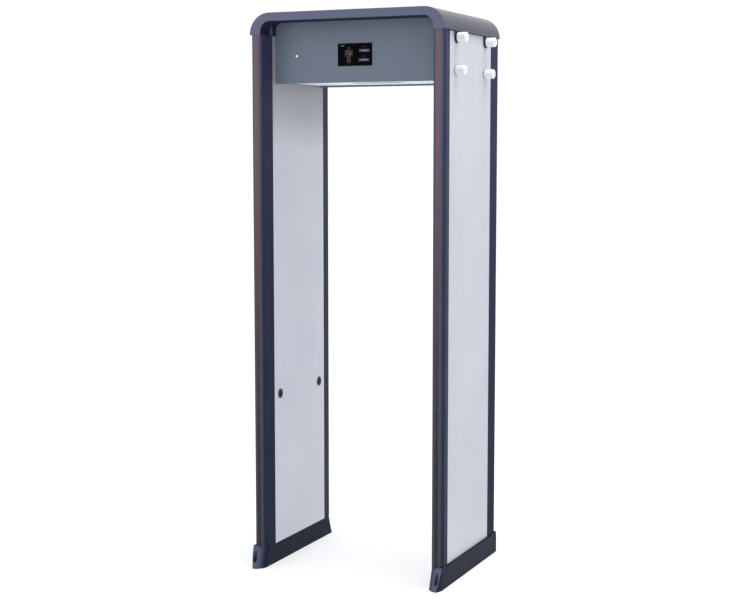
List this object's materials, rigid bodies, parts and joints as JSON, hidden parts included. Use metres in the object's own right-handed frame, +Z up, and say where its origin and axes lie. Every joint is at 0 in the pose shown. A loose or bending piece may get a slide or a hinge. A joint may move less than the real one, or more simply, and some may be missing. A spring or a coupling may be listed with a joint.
{
  "type": "security gate",
  "caption": "Walk-through metal detector gate with two panel legs, light strips in rounded posts, a rounded top cap and a header with a touchscreen.",
  "frame": {"origin": "on the floor at the middle of the passage, in the middle of the legs' depth", "axes": "+X across the passage to the right as seen from the front, +Y from the front to the rear along the walking direction, +Z up"},
  "size_m": [0.8966, 0.6856, 2.23],
  "materials": {
    "cap_moulding": "fine textured moulding",
    "bare_aluminium": "sawn extrusion",
    "anodised_extrusion": "dark coating over extruded aluminium",
    "tinted_lens": "smoked translucent plastic",
    "circuit_board": "solder mask with parts",
    "panel_laminate": "light satin laminate",
    "core_board": "ribbed fibreboard",
    "potted_winding": "taped winding",
    "black_plastic": "moulded black plastic",
    "dark_lens": "infrared-passing lens",
    "shoe_moulding": "moulded dark blue-grey plastic",
    "zinc_steel": "bright zinc plate",
    "header_paint": "powder coat, satin",
    "tray_paint": "powder coat, pale",
    "knob_plastic": "moulded white plastic",
    "screen_glass": "dark cover glass",
    "display_metal": "folded sheet case",
    "status_lens": "clear-white lens",
    "rocker_plastic": "red moulded plastic"
  },
  "bodies": {
    "gate": {"top_cap": "cap_moulding", "top_spigots": "bare_aluminium", "post_left_front": "anodised_extrusion", "post_left_rear": "anodised_extrusion", "post_right_front": "anodised_extrusion", "post_right_rear": "anodised_extrusion", "light_lens_left_front": "tinted_lens", "light_lens_left_rear": "tinted_lens", "light_lens_right_front": "tinted_lens", "light_lens_right_rear": "tinted_lens", "light_strips_left": "circuit_board", "light_strips_right": "circuit_board", "inner_panel_left": "panel_laminate", "inner_panel_right": "panel_laminate", "outer_panel_left": "panel_laminate", "outer_panel_right": "panel_laminate", "core_board_left": "core_board", "core_board_right": "core_board", "transmit_coil": "potted_winding", "receive_coil": "potted_winding", "sensor_bezels": "black_plastic", "sensor_lenses": "dark_lens", "sensor_emitters": "circuit_board", "sensor_receivers": "circuit_board", "base_shoe_left": "shoe_moulding", "base_shoe_right": "shoe_moulding", "foot_spigots": "bare_aluminium", "spigot_screws": "zinc_steel", "header_front_plate": "header_paint", "header_rear_plate": "header_paint", "header_tray": "tray_paint", "header_end_left": "zinc_steel", "header_end_right": "zinc_steel", "header_studs": "zinc_steel", "clamp_pads": "black_plastic", "knob_washers": "black_plastic", "hatch_pin": "zinc_steel", "screen_bezel": "black_plastic", "screen_glass": "screen_glass", "display_module": "display_metal", "status_light": "status_lens", "control_chassis": "zinc_steel", "main_board": "circuit_board", "power_supply": "display_metal", "sounder": "black_plastic", "wiring_harness": "black_plastic", "leg_connectors": "black_plastic", "mains_inlet": "black_plastic"},
    "hatch": {"service_hatch": "tray_paint"},
    "lock": {"hatch_lock": "zinc_steel"},
    "rocker": {"power_rocker": "rocker_plastic"},
    "knob_left_upper_front": {"knob_left_upper_front": "knob_plastic"},
    "knob_left_upper_rear": {"knob_left_upper_rear": "knob_plastic"},
    "knob_left_lower_front": {"knob_left_lower_front": "knob_plastic"},
    "knob_left_lower_rear": {"knob_left_lower_rear": "knob_plastic"},
    "knob_right_upper_front": {"knob_right_upper_front": "knob_plastic"},
    "knob_right_upper_rear": {"knob_right_upper_rear": "knob_plastic"},
    "knob_right_lower_front": {"knob_right_lower_front": "knob_plastic"},
    "knob_right_lower_rear": {"knob_right_lower_rear": "knob_plastic"}
  },
  "joints": [
    {"name": "hatch_hinge", "type": "hinge", "parent": "gate", "child": "hatch", "pos_m": [-0.01, 0.081, 1.9707], "axis": [1, 0, 0], "range_deg": [0, 92]},
    {"name": "hatch_lock_turn", "type": "hinge", "parent": "hatch", "child": "lock", "pos_m": [-0.01, 0.013, 1.965], "axis": [0, 0, 1], "range_deg": [0, 90]},
    {"name": "power_rocker_tilt", "type": "hinge", "parent": "gate", "child": "rocker", "pos_m": [0.19, 0.195, 2.0275], "axis": [1, 0, 0], "range_deg": [0, 24]},
    {"name": "knob_left_upper_front_turn", "type": "hinge", "parent": "gate", "child": "knob_left_upper_front", "pos_m": [-0.423, -0.16, 2.122], "axis": [-1, 0, 0], "continuous": true},
    {"name": "knob_left_upper_rear_turn", "type": "hinge", "parent": "gate", "child": "knob_left_upper_rear", "pos_m": [-0.423, 0.16, 2.122], "axis": [-1, 0, 0], "continuous": true},
    {"name": "knob_left_lower_front_turn", "type": "hinge", "parent": "gate", "child": "knob_left_lower_front", "pos_m": [-0.423, -0.16, 1.997], "axis": [-1, 0, 0], "continuous": true},
    {"name": "knob_left_lower_rear_turn", "type": "hinge", "parent": "gate", "child": "knob_left_lower_rear", "pos_m": [-0.423, 0.16, 1.997], "axis": [-1, 0, 0], "continuous": true},
    {"name": "knob_right_upper_front_turn", "type": "hinge", "parent": "gate", "child": "knob_right_upper_front", "pos_m": [0.423, -0.16, 2.122], "axis": [1, 0, 0], "continuous": true},
    {"name": "knob_right_upper_rear_turn", "type": "hinge", "parent": "gate", "child": "knob_right_upper_rear", "pos_m": [0.423, 0.16, 2.122], "axis": [1, 0, 0], "continuous": true},
    {"name": "knob_right_lower_front_turn", "type": "hinge", "parent": "gate", "child": "knob_right_lower_front", "pos_m": [0.423, -0.16, 1.997], "axis": [1, 0, 0], "continuous": true},
    {"name": "knob_right_lower_rear_turn", "type": "hinge", "parent": "gate", "child": "knob_right_lower_rear", "pos_m": [0.423, 0.16, 1.997], "axis": [1, 0, 0], "continuous": true}
  ]
}
